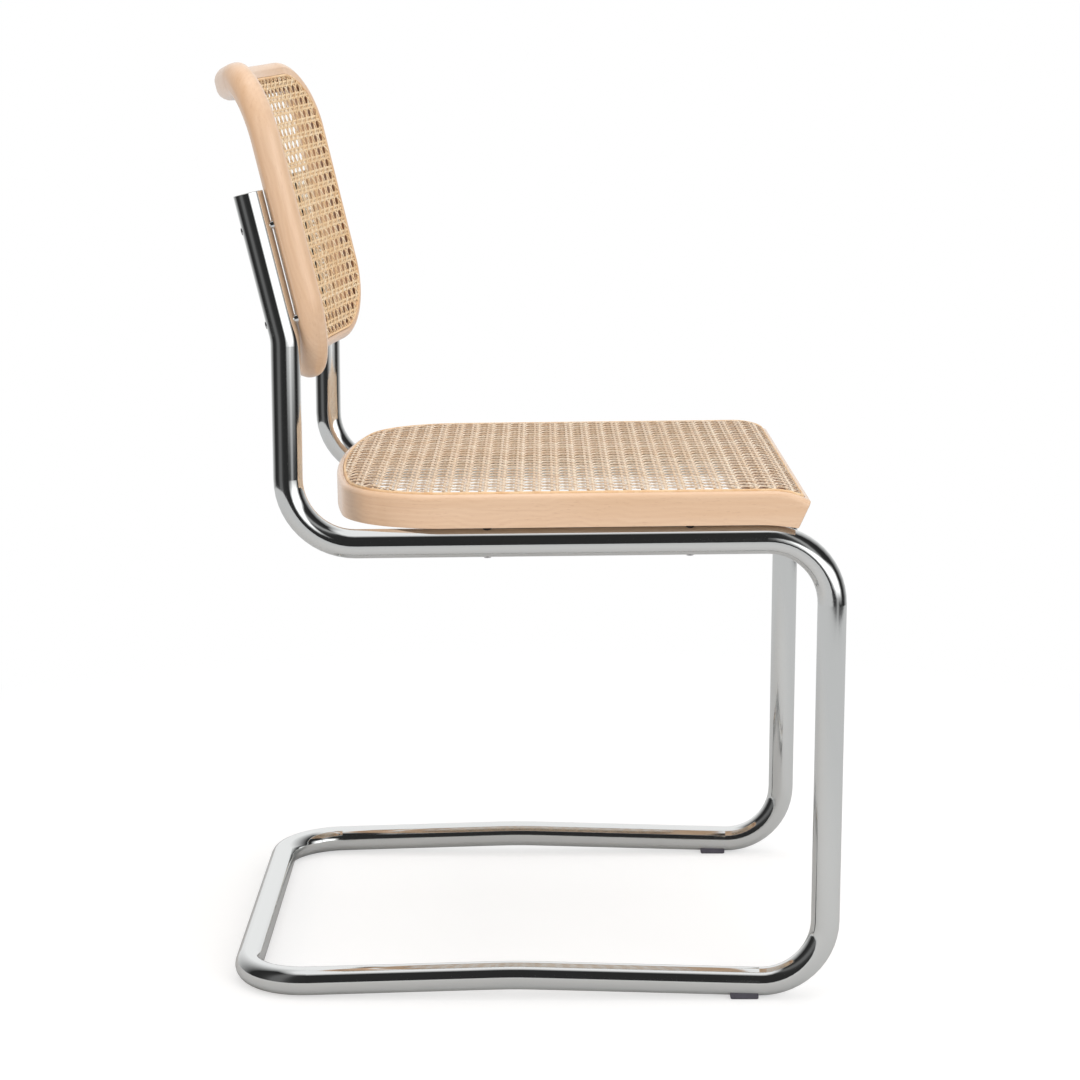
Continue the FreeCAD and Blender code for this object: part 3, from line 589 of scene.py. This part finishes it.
def prism_object(name, outline, axis, depth):
    """Closed prism with the outline in the plane across an axis (1 for y, 2 for z)."""
    bm = bmesh.new()
    rings = []
    for level in (-depth, depth):
        ring = []
        for point in outline:
            place = (point.x, point.y, level) if axis == 2 else (point.x, level, point.y)
            ring.append(bm.verts.new(place))
        rings.append(ring)
    count = len(outline)
    for index in range(count):
        after = (index + 1) % count
        bm.faces.new((rings[0][index], rings[0][after], rings[1][after], rings[1][index]))
    bm.faces.new(rings[0][::-1])
    bm.faces.new(rings[1])
    bmesh.ops.recalc_face_normals(bm, faces=bm.faces)
    mesh = bpy.data.meshes.new(name)
    bm.to_mesh(mesh)
    bm.free()
    return new_object(name, mesh)


def loop_object(name, points):
    """Closed chain of edges through points of the flat panel."""
    mesh = bpy.data.meshes.new(name)
    count = len(points)
    edges = [(index, (index + 1) % count) for index in range(count)]
    mesh.from_pydata([(point.x, point.y, 0.0) for point in points], edges, [])
    return new_object(name, mesh)


# Geometry node trees

def new_tree(name, inputs):
    """Geometry tree with named inputs: its graph and a Wire for each input."""
    tree = bpy.data.node_groups.new(name, "GeometryNodeTree")
    tree.interface.new_socket("Geometry", in_out="INPUT", socket_type="NodeSocketGeometry")
    for label, kind in inputs:
        tree.interface.new_socket(label, in_out="INPUT", socket_type=kind)
    tree.interface.new_socket("Geometry", in_out="OUTPUT", socket_type="NodeSocketGeometry")
    graph = Graph(tree)
    entry = graph.node("NodeGroupInput")
    wires = {socket.name: Wire(graph, socket) for socket in entry.outputs if socket.name}
    return tree, graph, wires


def finish_tree(graph, geometry, wires):
    """Ends a tree: smooth shading, real geometry, material and output."""
    smooth = graph.out(graph.node("GeometryNodeSetShadeSmooth", None, in_0=geometry))
    real = graph.out(graph.node("GeometryNodeRealizeInstances", None, Geometry=smooth))
    painted = graph.node("GeometryNodeSetMaterial", None, Geometry=real, Material=wires["Material"])
    graph.node("NodeGroupOutput", None, in_0=graph.out(painted))


def moved(graph, geometry, **values):
    """Geometry with its points set to Position, or moved by Offset."""
    return graph.out(graph.node("GeometryNodeSetPosition", None, Geometry=geometry, **values))


def position(graph):
    return graph.split(graph.out(graph.node("GeometryNodeInputPosition")))


def lay_on_seat(graph, geometry):
    """Bends a flat panel (across, backwards, height over the wood) over the rounded front of the seat."""
    x, y, z = position(graph)
    angle = (-y - DROOP_START).math("MAXIMUM", 0.0) / DROOP_RADIUS
    y_new = y.math("MAXIMUM", -DROOP_START) - angle.math("SINE") * DROOP_RADIUS
    z_new = z + SEAT_TOP - (1.0 - angle.math("COSINE")) * DROOP_RADIUS
    return moved(graph, geometry, Position=graph.join(x, y_new, z_new))


def lay_on_back(graph, geometry):
    """Bends a flat panel (across, up, height in front of the wood) round the hollow of the back."""
    x, y, z = position(graph)
    angle = x / BACK_RADIUS
    radius = BACK_RADIUS - z
    place = graph.join(radius * angle.math("SINE"),
                       radius * angle.math("COSINE") - (BACK_RADIUS - BACK_OFFSET), y)
    return moved(graph, geometry, Position=place)


LAYING = {
    "seat": (lay_on_seat, SEAT_ORIGIN, -SEAT_SLOPE),
    "back": (lay_on_back, BACK_ORIGIN, -BACK_LEAN),
}


def place_panel(graph, geometry, where):
    """Turns and moves a laid panel from its own frame to its place in the chair."""
    origin, turn = LAYING[where][1:]
    made = graph.node("GeometryNodeTransform", None, Geometry=geometry, Translation=origin,
                      Rotation=(turn, 0.0, 0.0))
    return graph.out(made)


def store(graph, geometry, label, value):
    made = graph.node("GeometryNodeStoreNamedAttribute", {"data_type": "FLOAT", "domain": "POINT"},
                      Geometry=geometry, Name=label, Value=value)
    return graph.out(made)


def read(graph, label):
    made = graph.node("GeometryNodeInputNamedAttribute", {"data_type": "FLOAT"}, Name=label)
    return graph.out(made)


def strand_lines(graph, wires, family):
    """One straight line per strand in units of the mesh, with its tone and its side of the pair."""
    index = graph.out(graph.node("GeometryNodeInputIndex"))
    across = wires["Half Across"]
    along = wires["Half Along"]
    if family in ("lengthwise", "crosswise"):
        reach = (across if family == "lengthwise" else along).math("CEIL")
        count = reach * 4.0
        side = index.math("MODULO", 2.0) * 2.0 - 1.0
        offset = (index / 2.0).math("FLOOR") - reach + 0.5 + side * wires["Pair Gap"]
    else:
        reach = (across + along).math("CEIL")
        count = reach * 2.0 + 1.0
        side = 0.0
        offset = index - reach + 0.5
    chain = graph.node("GeometryNodeMeshLine", None, Count=count)
    points = graph.out(graph.node("GeometryNodeMeshToPoints", None, Mesh=graph.out(chain)))
    random = graph.node("FunctionNodeRandomValue", {"data_type": "FLOAT"}, ID=index, Seed=wires["Seed"])
    for label, value in (("offset", offset), ("side", side), ("tone", graph.out(random))):
        points = store(graph, points, label, value)
    bar = graph.node("GeometryNodeCurvePrimitiveLine", None, Start=(0, 0, 0), End=(0, 0, 1))
    laid = graph.node("GeometryNodeInstanceOnPoints", None, Points=points, Instance=graph.out(bar))
    lines = graph.out(graph.node("GeometryNodeRealizeInstances", None, Geometry=graph.out(laid)))
    factor = graph.out(graph.node("GeometryNodeSplineParameter"), "Factor")
    shift = read(graph, "offset")
    if family == "lengthwise":
        place = graph.join(shift, along * (factor * 2.0 - 1.0), 0.0)
    elif family == "crosswise":
        place = graph.join(across * (factor * 2.0 - 1.0), shift, 0.0)
    else:
        rise = 1.0 if family == "rising" else -1.0
        low = (-across).math("MAXIMUM", -along - shift)
        high = across.math("MINIMUM", along - shift)
        x = low + (high - low).math("MAXIMUM", 0.0) * factor
        place = graph.join(x, (x + shift) * rise, 0.0)
    return moved(graph, lines, Position=place)


def seat_crown(graph, across, along):
    """Height that the seat's cane gains as it leaves the groove, from its place in the flat panel."""
    front = DROOP_START + DROOP_RADIUS * math.asin((SEAT_CANE_FRONT - DROOP_START) / DROOP_RADIUS)
    free = inside_seat_groove(across, along).math("MINIMUM", along + front)
    rise = graph.node("ShaderNodeMapRange", {"clamp": True, "interpolation_type": "SMOOTHSTEP"}, Value=free,
                      From_Min=CROWN_START, From_Max=CROWN_END, To_Max=CROWN_HEIGHT)
    return graph.out(rise)


def weave_height(graph, family):
    """Height of a strand over the middle of the sheet, in thicknesses: over and under its neighbours."""
    x, y = position(graph)[:2]
    side = read(graph, "side")
    turn = 2 * math.pi
    if family == "lengthwise":
        return -side * ((y - 0.5) * turn).math("SINE") * PAIR_RELIEF
    if family == "crosswise":
        return side * ((x - 0.5) * turn).math("SINE") * PAIR_RELIEF
    sign = 1.0 if family == "rising" else -1.0
    wave = (x * turn).math("COSINE") * DIAGONAL_STEEPNESS
    return wave.math("MINIMUM", 1.0).math("MAXIMUM", -1.0) * (sign * DIAGONAL_RELIEF)


STRAND_INPUTS = [
    ("Pitch Across", "NodeSocketFloat"), ("Pitch Along", "NodeSocketFloat"),
    ("Half Across", "NodeSocketFloat"), ("Half Along", "NodeSocketFloat"),
    ("Pair Gap", "NodeSocketFloat"), ("Strand Width", "NodeSocketFloat"),
    ("Strand Thickness", "NodeSocketFloat"), ("Step", "NodeSocketFloat"),
    ("Middle Across", "NodeSocketFloat"), ("Middle Along", "NodeSocketFloat"),
    ("Sheet Height", "NodeSocketFloat"), ("Seed", "NodeSocketInt"),
    ("Edge", "NodeSocketObject"), ("Material", "NodeSocketMaterial"),
]


def resampled(graph, curve, length):
    """A curve with even steps."""
    even = graph.node("GeometryNodeResampleCurve", {"mode": "LENGTH"}, Curve=curve, Length=length)
    return graph.out(even)


def swept(graph, curve, sides, width, height, caps):
    """Sweeps an oval section along a curve, kept level with the panel."""
    level = graph.out(graph.node("GeometryNodeSetCurveNormal", {"mode": "Z_UP"}, Curve=curve))
    ring = graph.out(graph.node("GeometryNodeCurvePrimitiveCircle", None, Resolution=sides, Radius=1.0))
    section = graph.out(graph.node("GeometryNodeTransform", None, Geometry=ring,
                                   Scale=graph.join(width, height, 1.0)))
    return graph.out(graph.node("GeometryNodeCurveToMesh", None, Curve=level, Profile_Curve=section,
                                Fill_Caps=caps))


def strand_tree(family, where):
    """Tree that weaves one family of strands, lays it on the seat or back and trims it at the groove."""
    tree, graph, wires = new_tree("%s cane, %s strands" % (where, family), STRAND_INPUTS)
    fine = resampled(graph, strand_lines(graph, wires, family), wires["Step"])
    x, y = position(graph)[:2]
    height = weave_height(graph, family) * wires["Strand Thickness"] + wires["Sheet Height"]
    across = x * wires["Pitch Across"] + wires["Middle Across"]
    along = y * wires["Pitch Along"] + wires["Middle Along"]
    if where == "seat":
        height = height + seat_crown(graph, across, along)
    woven = moved(graph, fine, Position=graph.join(across, along, height))
    half_width = wires["Strand Width"] * 0.5
    half_height = wires["Strand Thickness"] * STRAND_FULLNESS
    ribbon = swept(graph, woven, STRAND_SIDES, half_width, half_height, True)
    laid = LAYING[where][0](graph, ribbon)
    cutter = graph.out(graph.node("GeometryNodeObjectInfo", None, Object=wires["Edge"]), "Geometry")
    trimmed = graph.node("GeometryNodeMeshBoolean", {"operation": "INTERSECT", "solver": "MANIFOLD"})
    for part in (laid, cutter):
        graph.feed(trimmed.inputs["Mesh 2"], part)
    finish_tree(graph, place_panel(graph, graph.out(trimmed), where), wires)
    return tree


def reed_tree(where):
    """Tree that sweeps the reed round the groove and lays it on the seat or back."""
    inputs = [("Width", "NodeSocketFloat"), ("Height", "NodeSocketFloat"), ("Crown", "NodeSocketFloat"),
              ("Material", "NodeSocketMaterial")]
    tree, graph, wires = new_tree("%s reed" % where, inputs)
    path = graph.out(graph.node("GeometryNodeMeshToCurve", None, Mesh=wires["Geometry"]))
    even = resampled(graph, path, REED_STEP)
    rod = swept(graph, even, REED_SIDES, wires["Width"] * 0.5, wires["Height"] * 0.5, False)
    lift = graph.join(0.0, 0.0, wires["Crown"] - wires["Height"] * 0.5)
    laid = LAYING[where][0](graph, moved(graph, rod, Offset=lift))
    finish_tree(graph, place_panel(graph, laid, where), wires)
    return tree


def bake(name, source, tree, values):
    """Runs a tree on an object and keeps the result as a plain mesh object of that name."""
    modifier = source.modifiers.new("tree", "NODES")
    modifier.node_group = tree
    for item in tree.interface.items_tree:
        if item.in_out == "INPUT" and item.name in values:
            modifier[item.identifier] = values[item.name]
    source.update_tag()
    bpy.context.view_layer.update()
    depsgraph = bpy.context.evaluated_depsgraph_get()
    mesh = bpy.data.meshes.new_from_object(source.evaluated_get(depsgraph), preserve_all_data_layers=True,
                                           depsgraph=depsgraph)
    source.modifiers.clear()
    bpy.data.objects.remove(source)
    if len(mesh.polygons) == 0:
        raise RuntimeError("%s came out empty" % name)
    mesh.name = name
    return new_object(name, mesh)


def dress(piece, slot, *nodes):
    """Hands a finished piece to the frame: it rides on the chair and stands for its CAD nodes."""
    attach(piece, "root")
    if nodes:
        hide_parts(*nodes)


def weave(where, settings, material):
    """All four families of strands of one panel."""
    if where == "seat":
        pitch = (settings.seat_pitch, settings.seat_pitch)
        half = (SEAT_HALF, SEAT_CANE_REACH)
        middle = SEAT_CANE_MIDDLE
        width = settings.seat_strand
        edge = prism_object("seat_edge", seat_groove_line(), 2, SEAT_CUTTER_DEPTH)
    else:
        pitch = (settings.back_pitch_u, settings.back_pitch_v)
        half = (BACK_HALF_WIDTH, BACK_HALF_HEIGHT)
        middle = BACK_CANE_MIDDLE
        width = settings.back_strand
        edge = prism_object("back_edge", back_groove_line(), 1, BACK_CUTTER_DEPTH)
    for seed, family in enumerate(("lengthwise", "crosswise", "rising", "falling"), start=3):
        carrier = new_object("carrier", bpy.data.meshes.new("carrier"))
        values = {
            "Pitch Across": pitch[0], "Pitch Along": pitch[1],
            "Half Across": half[0] / pitch[0], "Half Along": half[1] / pitch[1],
            "Pair Gap": PAIR_GAP, "Strand Width": width, "Strand Thickness": STRAND_THICKNESS,
            "Step": 1.0 / settings.steps, "Middle Across": 0.0, "Middle Along": middle,
            "Sheet Height": SHEET_HALF, "Seed": seed, "Edge": edge, "Material": material,
        }
        piece = bake("%s_cane_%s" % (where, family), carrier, strand_tree(family, where), values)
        dress(piece, "cane", "%s_cane_panel" % where)
    bpy.data.objects.remove(edge)


def press_reed(where, points, width):
    """Sweeps the reed of one panel round its groove."""
    path = loop_object("%s_reed_path" % where, points)
    values = {"Width": width, "Height": REED_HEIGHT, "Crown": REED_PROUD,
              "Material": reed("%s reed" % where.title())}
    piece = bake("%s_reed" % where, path, reed_tree(where), values)
    dress(piece, "rattan_spline", "%s_cane_spline" % where)


class CHAIR_OT_finish_metal(bpy.types.Operator):
    """Chromes the tube and spacers and plates screws and inserts"""

    bl_idname = "chair.finish_metal"
    bl_label = "Finish Metal"

    def execute(self, context):
        chrome = polished_chrome("Polished chrome", context.scene.chair)
        for name in ("frame_tube", "back_spacers"):
            coat(name, chrome)
        plated = plated_steel("Plated steel")
        for name in ("seat_screws", "back_screws", "seat_inserts", "back_inserts"):
            coat(name, plated)
        return {"FINISHED"}


class CHAIR_OT_finish_plastic(bpy.types.Operator):
    """Gives glides, plugs and seat spacers their plastics"""

    bl_idname = "chair.finish_plastic"
    bl_label = "Finish Plastic"

    def execute(self, context):
        glide = moulded_plastic("Glide plastic", context.scene.chair.glide, 0.42)
        for name in ("front_glide_left", "front_glide_right"):
            coat(name, glide)
        coat("upright_end_plugs", moulded_plastic("Plug plastic", linear(150, 152, 151), 0.35))
        coat("seat_spacers", moulded_plastic("Spacer plastic", linear(44, 40, 38), 0.45))
        return {"FINISHED"}


class CHAIR_OT_finish_wood(bpy.types.Operator):
    """Lacquers the beech of seat and back, with the grain along each piece"""

    bl_idname = "chair.finish_wood"
    bl_label = "Finish Wood"

    def execute(self, context):
        settings = context.scene.chair
        for node, label, grain, seed, under in (
                ("seat_side_and_rear_frame", "seat's sides", grain_around_seat, 0.0, shade_under_seat_cane),
                ("seat_front_rail", "front rail", grain_sideways, 4.0, shade_under_seat_cane),
                ("back_stile_left", "left stile", grain_up_back, 7.0, shade_under_back_cane),
                ("back_stile_right", "right stile", grain_up_back, 11.0, shade_under_back_cane),
                ("back_top_rail", "top rail", grain_sideways, 15.0, shade_under_back_cane),
                ("back_bottom_rail", "bottom rail", grain_sideways, 19.0, shade_under_back_cane)):
            coat(node, beech("Beech of the " + label, grain, settings, seed, under))
        dowel = beech("Beech of the dowels", grain_sideways, settings, 23.0)
        for name in ("seat_dowels", "back_dowels"):
            coat(name, dowel)
        return {"FINISHED"}


class CHAIR_OT_weave_seat(bpy.types.Operator):
    """Weaves the seat's cane and presses its reed into the groove"""

    bl_idname = "chair.weave_seat"
    bl_label = "Weave Seat"

    def execute(self, context):
        settings = context.scene.chair
        # The seat's cane tone carries painted sheen.
        weave("seat", settings, cane_skin("Seat cane", settings.seat_cane))
        flat = []
        for point in seat_groove_line():
            past = -point.y - DROOP_START
            if past > 0:
                point = Vector((point.x, -DROOP_START - DROOP_RADIUS * math.asin(past / DROOP_RADIUS)))
            flat.append(point)
        press_reed("seat", flat, SEAT_REED_WIDTH)
        return {"FINISHED"}


class CHAIR_OT_weave_back(bpy.types.Operator):
    """Weaves the back's cane and presses its reed into the groove"""

    bl_idname = "chair.weave_back"
    bl_label = "Weave Back"

    def execute(self, context):
        settings = context.scene.chair
        weave("back", settings, cane_skin("Back cane", settings.back_cane))
        flat = [Vector((BACK_RADIUS * math.asin(point.x / BACK_RADIUS), point.y))
                for point in back_groove_line()]
        press_reed("back", flat, BACK_REED_WIDTH)
        return {"FINISHED"}


# Stage

def studio_world():
    """White to the camera; metal reflects a dark room with strips, a panel, a bright end and a ceiling."""
    world = bpy.data.worlds.new("Studio")
    bpy.context.scene.world = world
    graph = cleared_graph(world)
    x, y, z = graph.split(graph.out(graph.node("ShaderNodeTexCoord"), "Generated"))
    azimuth = (-y).math("ARCTAN2", -x) * (180 / math.pi)
    elevation = z.math("ARCSINE") * (180 / math.pi)

    def strip(centre, width):
        """Soft upright strip of light: 1 at its middle."""
        away = (azimuth - centre) / width
        return 1.0 / (1.0 + away * away * away * away)

    panel = graph.ramp(azimuth, 6.0, 18.0) * graph.ramp(azimuth, 82.0, 62.0)
    panel = panel * graph.ramp(elevation, -8.5, -1.0) * graph.ramp(elevation, 22.0, 14.0)
    behind = graph.ramp(azimuth.math("ABSOLUTE"), 100.0, 165.0)
    walls = DARK_WALL + strip(40.0, 9.0) * 0.28 + strip(-52.0, 14.0) * 0.10
    walls = walls + behind * BRIGHT_END + panel * BRIGHT_PANEL
    ceiling = graph.ramp(elevation, 60.0, 74.0)
    room = walls * (1.0 - ceiling) + ceiling * CEILING
    path = graph.node("ShaderNodeLightPath")
    camera = graph.out(path, "Is Camera Ray")
    glossy = graph.out(path, "Is Glossy Ray")
    strength = camera + (1.0 - camera) * (glossy * room + (1.0 - glossy) * AMBIENT)
    graph.link_output("ShaderNodeOutputWorld",
                      graph.node("ShaderNodeBackground", None, Color=WHITE, Strength=strength))


def studio_floor():
    """Pale floor that takes the chair's shadow and turns to even white further out."""
    bm = bmesh.new()
    bmesh.ops.create_circle(bm, cap_ends=True, segments=96, radius=FLOOR_RADIUS)
    mesh = bpy.data.meshes.new("floor")
    bm.to_mesh(mesh)
    bm.free()
    floor = new_object("floor", mesh)
    material = bpy.data.materials.new("Floor")
    graph = cleared_graph(material)
    camera = graph.out(graph.node("ShaderNodeLightPath"), "Is Camera Ray")
    grey = (FLOOR_GREY, FLOOR_GREY, FLOOR_GREY, 1.0)
    paint = graph.out(graph.node("ShaderNodeBsdfDiffuse", None, Color=grey))
    glow = graph.out(graph.node("ShaderNodeEmission", None, Color=WHITE, Strength=camera * FLOOR_GREY))
    near = graph.out(graph.node("ShaderNodeAddShader", None, in_0=paint, in_1=glow))
    far = graph.out(graph.node("ShaderNodeEmission", None, Color=WHITE,
                               Strength=camera + (1.0 - camera) * FLOOR_GREY))
    x, y = graph.split(graph.out(graph.node("ShaderNodeTexCoord"), "Object"))[:2]
    away = graph.ramp((x * x + y * y).math("SQRT"), *FLOOR_BLEND)
    graph.link_output("ShaderNodeOutputMaterial",
                      graph.node("ShaderNodeMixShader", None, Fac=away, in_1=near, in_2=far))
    mesh.materials.append(material)


def area_light(name, place, target, size, power, tint):
    """Soft square lamp that lights the chair and isn't seen in the chrome."""
    lamp = bpy.data.lights.new(name, "AREA")
    lamp.shape = "SQUARE"
    lamp.size = size
    lamp.energy = power
    lamp.color = tint
    made = new_object(name, lamp)
    made.location = place
    made.rotation_euler = (Vector(target) - Vector(place)).to_track_quat("-Z", "Y").to_euler()
    made.visible_glossy = False
    made.visible_camera = False


class CHAIR_OT_set_stage(bpy.types.Operator):
    """Sets a white studio, its lights and the camera"""

    bl_idname = "chair.set_stage"
    bl_label = "Set Stage"

    def execute(self, context):
        studio_world()
        studio_floor()
        for lamp in LAMPS:
            area_light(*lamp)
        camera = bpy.data.cameras.new("camera")
        camera.sensor_width = 36.0
        camera.lens = CAMERA_LENS
        camera.shift_y = CAMERA_SHIFT
        made = new_object("camera", camera)
        made.location = CAMERA_PLACE
        made.rotation_euler = (math.pi / 2 - CAMERA_TILT, 0.0, -math.pi / 2)
        context.scene.camera = made
        context.scene.view_settings.view_transform = "Standard"
        return {"FINISHED"}


class CHAIR_PT_panel(bpy.types.Panel):
    """Lists the chair's settings and steps"""

    bl_label = "Chair"
    bl_idname = "CHAIR_PT_panel"
    bl_space_type = "VIEW_3D"
    bl_region_type = "UI"
    bl_category = "Chair"

    def draw(self, context):
        for name in ChairSettings.__annotations__:
            self.layout.prop(context.scene.chair, name)
        for step in STEPS:
            self.layout.operator(step.bl_idname)


STEPS = (
    CHAIR_OT_set_stage,
    CHAIR_OT_finish_metal,
    CHAIR_OT_finish_plastic,
    CHAIR_OT_finish_wood,
    CHAIR_OT_weave_seat,
    CHAIR_OT_weave_back,
)
CLASSES = (ChairSettings, *STEPS, CHAIR_PT_panel)


def register():
    for item in CLASSES:
        bpy.utils.register_class(item)
    bpy.types.Scene.chair = PointerProperty(type=ChairSettings)


def unregister():
    del bpy.types.Scene.chair
    for item in reversed(CLASSES):
        bpy.utils.unregister_class(item)


def main():
    register()
    bpy.ops.chair.set_stage()
    bpy.ops.chair.finish_metal()
    bpy.ops.chair.finish_plastic()
    bpy.ops.chair.finish_wood()
    bpy.ops.chair.weave_seat()
    bpy.ops.chair.weave_back()


if __name__ == "__main__":
    main()
